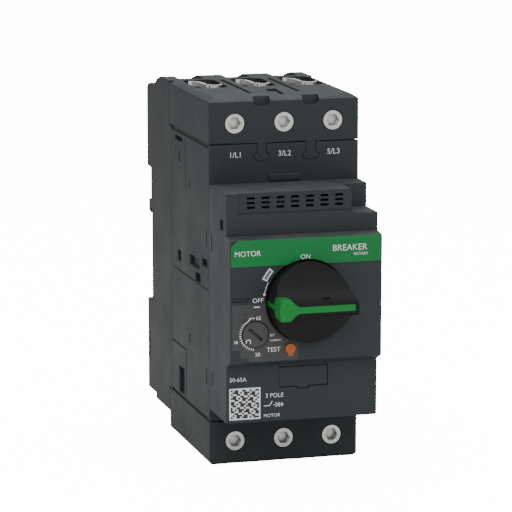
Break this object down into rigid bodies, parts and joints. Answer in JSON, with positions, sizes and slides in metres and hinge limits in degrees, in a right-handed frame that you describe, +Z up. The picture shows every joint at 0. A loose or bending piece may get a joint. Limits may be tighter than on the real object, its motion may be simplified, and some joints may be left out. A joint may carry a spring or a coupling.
{
  "type": "motor protection breaker",
  "caption": "Rail-mounted rotary motor protection breaker with a turning knob, current dial, test button, clamp terminals above and below, and a full inner mechanism.",
  "frame": {"origin": "middle of the footprint at the lowest face", "axes": "+X right seen from the front, +Y from the knob to the mounting rail, +Z up"},
  "size_m": [0.055, 0.136, 0.132],
  "materials": {
    "housing": "fine textured thermoplastic",
    "front": "fine textured thermoplastic",
    "knob_black": "satin",
    "green": "satin",
    "label_green": "printed film",
    "plate_grey": "satin",
    "dial_grey": "satin",
    "orange": "satin",
    "zinc_steel": "zinc plated",
    "spring_steel": "polished wire",
    "copper": "bare copper",
    "inner_plastic": "moulded thermoset",
    "coil_copper": "lacquered winding",
    "bimetal": "rolled strip"
  },
  "bodies": {
    "housing": {"base_housing": "housing", "case_housing": "housing", "upper_terminal_cap": "housing", "lower_terminal_cap": "housing", "front_cover": "front", "nameplate": "label_green", "setting_plate": "plate_grey", "mechanism_frame": "zinc_steel", "toggle_spring": "spring_steel", "test_spring": "spring_steel", "din_clip_spring": "spring_steel", "line_conductor_1": "copper", "fixed_contact_1": "copper", "load_conductor_1": "copper", "arc_chute_1": "zinc_steel", "trip_coil_1": "coil_copper", "bimetal_1": "bimetal", "line_conductor_2": "copper", "fixed_contact_2": "copper", "load_conductor_2": "copper", "arc_chute_2": "zinc_steel", "trip_coil_2": "coil_copper", "bimetal_2": "bimetal", "line_conductor_3": "copper", "fixed_contact_3": "copper", "load_conductor_3": "copper", "arc_chute_3": "zinc_steel", "trip_coil_3": "coil_copper", "bimetal_3": "bimetal"},
    "knob": {"rotary_knob": "knob_black", "knob_pointer": "green", "drive_shaft": "zinc_steel"},
    "carrier": {"contact_carrier": "inner_plastic", "contact_springs": "spring_steel", "contact_bridge_1": "copper", "contact_bridge_2": "copper", "contact_bridge_3": "copper"},
    "toggle": {"toggle_lever": "zinc_steel"},
    "latch": {"latch_lever": "zinc_steel"},
    "trip_bar": {"trip_bar": "inner_plastic"},
    "dial": {"current_dial": "dial_grey"},
    "test_button": {"test_button": "orange"},
    "flap": {"accessory_flap": "front"},
    "rail_clip": {"din_clip": "housing"},
    "plunger_1": {"trip_plunger_1": "zinc_steel"},
    "line_screw_1": {"line_screw_1": "zinc_steel"},
    "line_clamp_1": {"line_clamp_1": "zinc_steel"},
    "load_screw_1": {"load_screw_1": "zinc_steel"},
    "load_clamp_1": {"load_clamp_1": "zinc_steel"},
    "plunger_2": {"trip_plunger_2": "zinc_steel"},
    "line_screw_2": {"line_screw_2": "zinc_steel"},
    "line_clamp_2": {"line_clamp_2": "zinc_steel"},
    "load_screw_2": {"load_screw_2": "zinc_steel"},
    "load_clamp_2": {"load_clamp_2": "zinc_steel"},
    "plunger_3": {"trip_plunger_3": "zinc_steel"},
    "line_screw_3": {"line_screw_3": "zinc_steel"},
    "line_clamp_3": {"line_clamp_3": "zinc_steel"},
    "load_screw_3": {"load_screw_3": "zinc_steel"},
    "load_clamp_3": {"load_clamp_3": "zinc_steel"}
  },
  "joints": [
    {"name": "knob_turn", "type": "hinge", "parent": "housing", "child": "knob", "pos_m": [0, -0.052, 0.064], "axis": [0, 1, 0], "range_deg": [0, 90]},
    {"name": "contact_travel", "type": "slide", "parent": "housing", "child": "carrier", "axis": [0, 1, 0], "range_m": [0, 0.006]},
    {"name": "toggle_swing", "type": "hinge", "parent": "housing", "child": "toggle", "pos_m": [0, -0.017, 0.093], "axis": [1, 0, 0], "range_deg": [0, 24.1]},
    {"name": "test_press", "type": "slide", "parent": "housing", "child": "test_button", "axis": [0, 1, 0], "range_m": [0, 0.0015], "stiffness_N_per_m": 400, "springref_m": -0.001, "deforming": ["test_spring"]},
    {"name": "trip_bar_swing", "type": "hinge", "parent": "housing", "child": "trip_bar", "pos_m": [0, -0.001, 0.043], "axis": [-1, 0, 0], "range_deg": [0, 20.7]},
    {"name": "latch_swing", "type": "hinge", "parent": "housing", "child": "latch", "pos_m": [0.0055, -0.017, 0.093], "axis": [1, 0, 0], "range_deg": [0, 11.5]},
    {"name": "dial_turn", "type": "hinge", "parent": "housing", "child": "dial", "pos_m": [-0.0184, -0.05, 0.053], "axis": [0, 1, 0], "range_deg": [-50, 125]},
    {"name": "flap_lift", "type": "hinge", "parent": "housing", "child": "flap", "pos_m": [0.00045, -0.046, 0.0392], "axis": [-1, 0, 0], "range_deg": [0, 85]},
    {"name": "clip_slide", "type": "slide", "parent": "housing", "child": "rail_clip", "axis": [0, 0, -1], "range_m": [0, 0.004], "stiffness_N_per_m": 1500, "springref_m": -0.002, "deforming": ["din_clip_spring"]},
    {"name": "plunger_slide_1", "type": "slide", "parent": "housing", "child": "plunger_1", "axis": [0, -1, 0], "range_m": [0, 0.0027], "stiffness_N_per_m": 150, "springref_m": -0.001},
    {"name": "plunger_slide_2", "type": "slide", "parent": "housing", "child": "plunger_2", "axis": [0, -1, 0], "range_m": [0, 0.0027], "stiffness_N_per_m": 150, "springref_m": -0.001},
    {"name": "plunger_slide_3", "type": "slide", "parent": "housing", "child": "plunger_3", "axis": [0, -1, 0], "range_m": [0, 0.0027], "stiffness_N_per_m": 150, "springref_m": -0.001},
    {"name": "line_screw_turn_1", "type": "hinge", "parent": "housing", "child": "line_screw_1", "pos_m": [-0.018, -0.02, 0.1228], "axis": [0, 1, 0], "range_deg": [0, 1800]},
    {"name": "line_clamp_slide_1", "type": "slide", "parent": "housing", "child": "line_clamp_1", "axis": [0, -1, 0], "range_m": [0, 0.005]},
    {"name": "line_screw_turn_2", "type": "hinge", "parent": "housing", "child": "line_screw_2", "pos_m": [0, -0.02, 0.1228], "axis": [0, 1, 0], "range_deg": [0, 1800]},
    {"name": "line_clamp_slide_2", "type": "slide", "parent": "housing", "child": "line_clamp_2", "axis": [0, -1, 0], "range_m": [0, 0.005]},
    {"name": "line_screw_turn_3", "type": "hinge", "parent": "housing", "child": "line_screw_3", "pos_m": [0.018, -0.02, 0.1228], "axis": [0, 1, 0], "range_deg": [0, 1800]},
    {"name": "line_clamp_slide_3", "type": "slide", "parent": "housing", "child": "line_clamp_3", "axis": [0, -1, 0], "range_m": [0, 0.005]},
    {"name": "load_screw_turn_1", "type": "hinge", "parent": "housing", "child": "load_screw_1", "pos_m": [-0.018, -0.02, 0.0084], "axis": [0, 1, 0], "range_deg": [0, 1800]},
    {"name": "load_clamp_slide_1", "type": "slide", "parent": "housing", "child": "load_clamp_1", "axis": [0, -1, 0], "range_m": [0, 0.005]},
    {"name": "load_screw_turn_2", "type": "hinge", "parent": "housing", "child": "load_screw_2", "pos_m": [0, -0.02, 0.0084], "axis": [0, 1, 0], "range_deg": [0, 1800]},
    {"name": "load_clamp_slide_2", "type": "slide", "parent": "housing", "child": "load_clamp_2", "axis": [0, -1, 0], "range_m": [0, 0.005]},
    {"name": "load_screw_turn_3", "type": "hinge", "parent": "housing", "child": "load_screw_3", "pos_m": [0.018, -0.02, 0.0084], "axis": [0, 1, 0], "range_deg": [0, 1800]},
    {"name": "load_clamp_slide_3", "type": "slide", "parent": "housing", "child": "load_clamp_3", "axis": [0, -1, 0], "range_m": [0, 0.005]}
  ],
  "couplings": [
    {"joint": "knob_turn", "follows": "contact_travel", "rad_per_m": 261.8},
    {"joint": "toggle_swing", "follows": "contact_travel", "rad_per_m": 70.03},
    {"joint": "trip_bar_swing", "follows": "test_press", "rad_per_m": 240},
    {"joint": "latch_swing", "follows": "test_press", "rad_per_m": 133},
    {"joint": "line_screw_turn_1", "follows": "line_clamp_slide_1", "rad_per_m": 6283.2},
    {"joint": "line_screw_turn_2", "follows": "line_clamp_slide_2", "rad_per_m": 6283.2},
    {"joint": "line_screw_turn_3", "follows": "line_clamp_slide_3", "rad_per_m": 6283.2},
    {"joint": "load_screw_turn_1", "follows": "load_clamp_slide_1", "rad_per_m": 6283.2},
    {"joint": "load_screw_turn_2", "follows": "load_clamp_slide_2", "rad_per_m": 6283.2},
    {"joint": "load_screw_turn_3", "follows": "load_clamp_slide_3", "rad_per_m": 6283.2}
  ]
}
